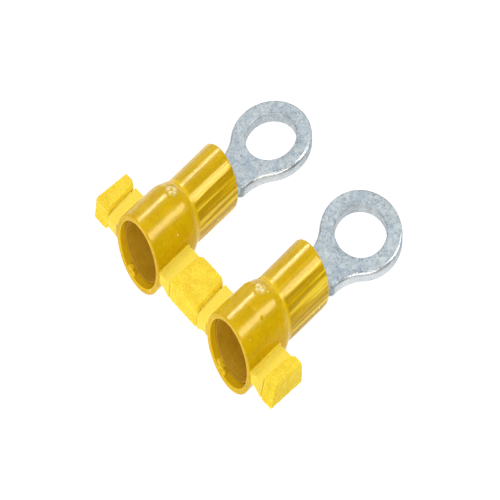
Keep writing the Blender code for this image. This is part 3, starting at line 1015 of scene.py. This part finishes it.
def ring_outline():
    """Outer points of the ring from the tongue's +X edge round to its -X edge."""
    across, start = fillet_centre()
    reach = RING_RADIUS + FILLET
    share = FILLET / reach
    tangent = (across * (1 - share), start + (RING_CENTRE - start) * share)
    right = []
    for index in range(1, 6):
        along = blend(RING_JOIN, tangent[1], index / 6)
        right.append((blank_half(along), along))
    first = math.atan2(tangent[1] - RING_CENTRE, tangent[0])
    for index in range(54):
        angle = blend(first, math.pi / 2, index / 54)
        right.append((RING_RADIUS * math.cos(angle), RING_CENTRE + RING_RADIUS * math.sin(angle)))
    left = [(-x, y) for x, y in reversed(right)]
    return right + [(0.0, RING_CENTRE + RING_RADIUS)] + left


def blank_rows():
    rows = [BARREL_START + index * 0.12 * MM for index in range(49)]
    rows += [blend(rows[-1], FLATTEN_END + 0.2 * MM, index / 22) for index in range(1, 23)]
    rows += [blend(rows[-1], RING_JOIN, index / 5) for index in range(1, 6)]
    return rows


def terminal_blank():
    bm = bmesh.new()
    rows = [[bm.verts.new(point) for point in rolled_row(along)] for along in blank_rows()]
    for near, far in zip(rows, rows[1:]):
        for column in range(COLUMNS):
            bm.faces.new((near[column], near[column + 1], far[column + 1], far[column]))
    level = -TONGUE_DROP - STOCK / 2
    rim = rows[-1] + [bm.verts.new((x, y, level)) for x, y in ring_outline()]
    rings = [rim]
    first = math.atan2(rim[0].co.y - RING_CENTRE, rim[0].co.x)
    for share in (0.5, 1.0):
        inner = []
        for index, outer in enumerate(rim):
            angle = first + 2 * math.pi * index / len(rim)
            out = Vector((math.cos(angle), math.sin(angle), 0.0)) * HOLE_RADIUS
            on_hole = Vector((0.0, RING_CENTRE, level)) + out
            inner.append(bm.verts.new(outer.co.lerp(on_hole, share)))
        rings.append(inner)
    for near, far in zip(rings, rings[1:]):
        for index in range(len(near)):
            after = (index + 1) % len(near)
            bm.faces.new((near[index], near[after], far[after], far[index]))
    bmesh.ops.recalc_face_normals(bm, faces=bm.faces)
    mesh = bpy.data.meshes.new("blank")
    bm.to_mesh(mesh)
    bm.free()
    return mesh


def weigh_edges(mesh):
    """Let the punched top edge roll over fully, and every other corner a third as much."""
    bm = bmesh.new()
    bm.from_mesh(mesh)
    weights = bm.edges.layers.float.new("bevel_weight_edge")
    top = -TONGUE_DROP - STOCK * 0.25
    for edge in bm.edges:
        if len(edge.link_faces) != 2 or edge.calc_face_angle() < math.radians(50):
            continue
        centre = (edge.verts[0].co + edge.verts[1].co) / 2
        from_hole = math.hypot(centre.x, centre.y - RING_CENTRE)
        rolls = centre.y > FLATTEN_END and centre.z > top and from_hole > HOLE_RADIUS + 0.1 * MM
        edge[weights] = 1.0 if rolls else 0.33
    bm.to_mesh(mesh)
    bm.free()


def burnish_and_highlight_edges(mesh):
    """Mark the tongue's corners and sheared walls for brightening, partly burnished wear and partly painted
    highlight on the corners and painted reflection on the walls, strongest on faces turned to -Y where the
    front lights fall.
    """
    normals = [Vector(item.vector) for item in mesh.vertex_normals]
    values = []
    for vertex, normal in zip(mesh.vertices, normals):
        level = abs(normal.z)
        # corners get the full painted highlight, walls half as painted reflection, flat faces none
        bright = 0.0 if level > 0.955 else 1.0 if level > 0.30 else 0.5
        from_hole = math.hypot(vertex.co.x, vertex.co.y - RING_CENTRE)
        if from_hole < HOLE_RADIUS + EDGE_ROLL:
            bright *= 0.35
        else:
            bright *= blend(0.2, 1.0, smooth_step(-normal.y, -0.35, 0.20))
        values.append(bright if vertex.co.y > FLATTEN_END else 0.0)
    mesh.attributes.new("burnish_and_highlight", "FLOAT", "POINT").data.foreach_set("value", values)


def add_terminal(side, serrations, material):
    """The rolled sheet at its stock thickness, serrated inside, with stamped edges."""
    holder = holder_of(terminal_blank())
    thick = holder.modifiers.new("stock", "SOLIDIFY")
    thick.thickness = STOCK
    thick.offset = 0.0
    thick.use_even_offset = True
    mesh = settled(holder)
    closed_outward(mesh)
    values = {
        "First Groove": 8.6 * MM, "Groove Step": 0.96 * MM, "Grooves": 4.0, "Groove Depth": 0.12 * MM,
        "Inside Radius": BARREL_MEAN - STOCK / 2 + 0.02 * MM, "Finish": material,
    }
    mesh = grown_mesh(mesh, serrations, values)
    weigh_edges(mesh)
    holder = holder_of(mesh)
    edge = holder.modifiers.new("stamped edge", "BEVEL")
    edge.width = EDGE_ROLL
    edge.segments = 5
    edge.limit_method = "WEIGHT"
    flats = holder.modifiers.new("flats", "WEIGHTED_NORMAL")
    flats.weight = 100
    mesh = settled(holder)
    burnish_and_highlight_edges(mesh)
    mesh.transform(Matrix.Rotation(ROLL[side], 4, "Y"))
    node = "ring_terminal_" + side
    add_piece("stamped_terminal_" + side, mesh, sleeve_frame(side), node, material)


# Camera, lights and floor

VIEW_AZIMUTH = math.radians(46.227)
VIEW_ELEVATION = math.radians(43.435)
VIEW_TILT = math.radians(0.216)
STRETCH = 1.479
VIEW_DISTANCE = 577.87 * MM
FOCAL_WIDTHS = 8.91769            # focal length in widths of the film
FRAME_SHIFT = (-0.000438, -0.022456)
AIM_BACK = 12.0 * MM              # from the mouths, between the two sleeves

LIGHTS = {
    # name: direction, distance, size, energy, turn about its own axis in degrees
    "back_left": ((-0.57, 0.50, 0.65), 0.40, (0.05, 0.05), 0.30, 0.0),
    "back_right": ((0.33, 0.50, 0.80), 0.40, (0.11, 0.11), 0.74, 0.0),
    "front_low": ((0.05, -0.93, 0.36), 0.50, (0.30, 0.20), 0.78, 0.0),
    "camera_side": ((0.43, -0.46, 0.69), 0.50, (0.30, 0.05), 0.42, 45.0),
}
WORLD_LIGHT = 0.53
SHADED_SIDE = (0.80, 0.50, 0.33)  # the world is darker towards it


def add_camera(aim):
    """A camera whose film leans back, so that the picture is taller than the plain view."""
    back = Vector((
        math.sin(VIEW_AZIMUTH) * math.cos(VIEW_ELEVATION),
        -math.cos(VIEW_AZIMUTH) * math.cos(VIEW_ELEVATION),
        math.sin(VIEW_ELEVATION),
    ))
    level = Vector((math.cos(VIEW_AZIMUTH), math.sin(VIEW_AZIMUTH), 0.0))
    upright = back.cross(level)
    right = level * math.cos(VIEW_TILT) + upright * math.sin(VIEW_TILT)
    up = upright * math.cos(VIEW_TILT) - level * math.sin(VIEW_TILT)
    lean = math.acos(1 / STRETCH)
    grow = (math.cos(VIEW_ELEVATION) + math.tan(lean) * math.sin(VIEW_ELEVATION)) / math.cos(VIEW_ELEVATION)
    film_up = up * math.cos(lean) + back * math.sin(lean)
    place = aim + back * VIEW_DISTANCE * grow
    pose = Matrix.Identity(4)
    for row in range(3):
        pose[row][0] = right[row]
        pose[row][1] = film_up[row]
        pose[row][2] = back[row]
        pose[row][3] = place[row]
    data = bpy.data.cameras.new("camera")
    camera = bpy.data.objects.new("camera", data)
    stand = bpy.data.objects.new("camera_stand", None)
    for item in (camera, stand):
        bpy.context.scene.collection.objects.link(item)
    camera.parent = stand
    camera.matrix_parent_inverse = pose
    data.sensor_width = 36.0
    data.lens = FOCAL_WIDTHS * grow * data.sensor_width
    data.shift_x, data.shift_y = FRAME_SHIFT
    data.clip_start = 0.01
    data.clip_end = 10.0
    bpy.context.scene.camera = camera


def add_light(name):
    """A soft light that faces the object from a direction, turned about its own axis."""
    direction, distance, size, energy, turn = LIGHTS[name]
    data = bpy.data.lights.new(name, "AREA")
    data.shape = "RECTANGLE"
    data.size, data.size_y = size
    data.energy = energy
    lamp = bpy.data.objects.new(name, data)
    bpy.context.scene.collection.objects.link(lamp)
    away = Vector(direction).normalized()
    lamp.location = away * distance
    lamp.rotation_mode = "QUATERNION"
    lamp.rotation_quaternion = away.to_track_quat("Z", "Y") @ Quaternion((0.0, 0.0, 1.0), math.radians(turn))


def add_floor():
    """A wide pale floor under the object."""
    bm = bmesh.new()
    bmesh.ops.create_grid(bm, x_segments=2, y_segments=2, size=2.5)
    mesh = bpy.data.meshes.new("floor")
    bm.to_mesh(mesh)
    bm.free()
    floor = bpy.data.objects.new("floor", mesh)
    bpy.context.scene.collection.objects.link(floor)
    finish = Finish("pale_floor")
    grain = finish.cloud(finish.place, 3.0 * MM, 3.0)
    pale = finish.mix(grain, rgb(120, 120, 120), rgb(132, 132, 132))
    mesh.materials.append(finish.surface(
        Base_Color=pale, Roughness=0.9, Specular_IOR_Level=0.1,
        Emission_Color=(1.0, 1.0, 1.0, 1.0), Emission_Strength=0.95,
    ))


def light_world():
    world = bpy.data.worlds.new("studio")
    world.use_nodes = True
    bpy.context.scene.world = world
    tree = Tree(world.node_tree)
    world.node_tree.nodes.clear()
    seen = tree.node("ShaderNodeLightPath", output="Is Camera Ray")
    way = tree.node("ShaderNodeTexCoord", output="Generated")
    side = tree.node("ShaderNodeVectorMath", {"operation": "DOT_PRODUCT"}, {0: way, 1: SHADED_SIDE}, "Value")
    light = WORLD_LIGHT * (1.0 - tree.rise(side, 0.1, 0.95) * 0.8)
    strength = light + seen * (1.0 - light)
    back = tree.node("ShaderNodeBackground", None, {"Color": (1.0, 1.0, 1.0, 1.0), "Strength": strength})
    out = tree.node("ShaderNodeOutputWorld")
    tree.tree.links.new(back.socket, out.inputs["Surface"])


def main():
    vinyl = sleeve_vinyl()
    grained = link_vinyl()
    tin = tin_plate()
    brass = grip_brass()
    turned = turned_tree()
    serrations = serration_tree()
    for side in SIDES:
        add_sleeve(side, turned, vinyl)
        add_grip_sleeve(side, turned, brass)
        add_terminal(side, serrations, tin)
    for node in BLOCKS:
        add_block(node, grained)
    left, right = sleeve_frame("left"), sleeve_frame("right")
    add_camera((left + right) / 2 + Vector((0.0, AIM_BACK, 0.0)))
    add_floor()
    light_world()
    for name in LIGHTS:
        add_light(name)
    bpy.context.scene.view_settings.view_transform = "Standard"


main()
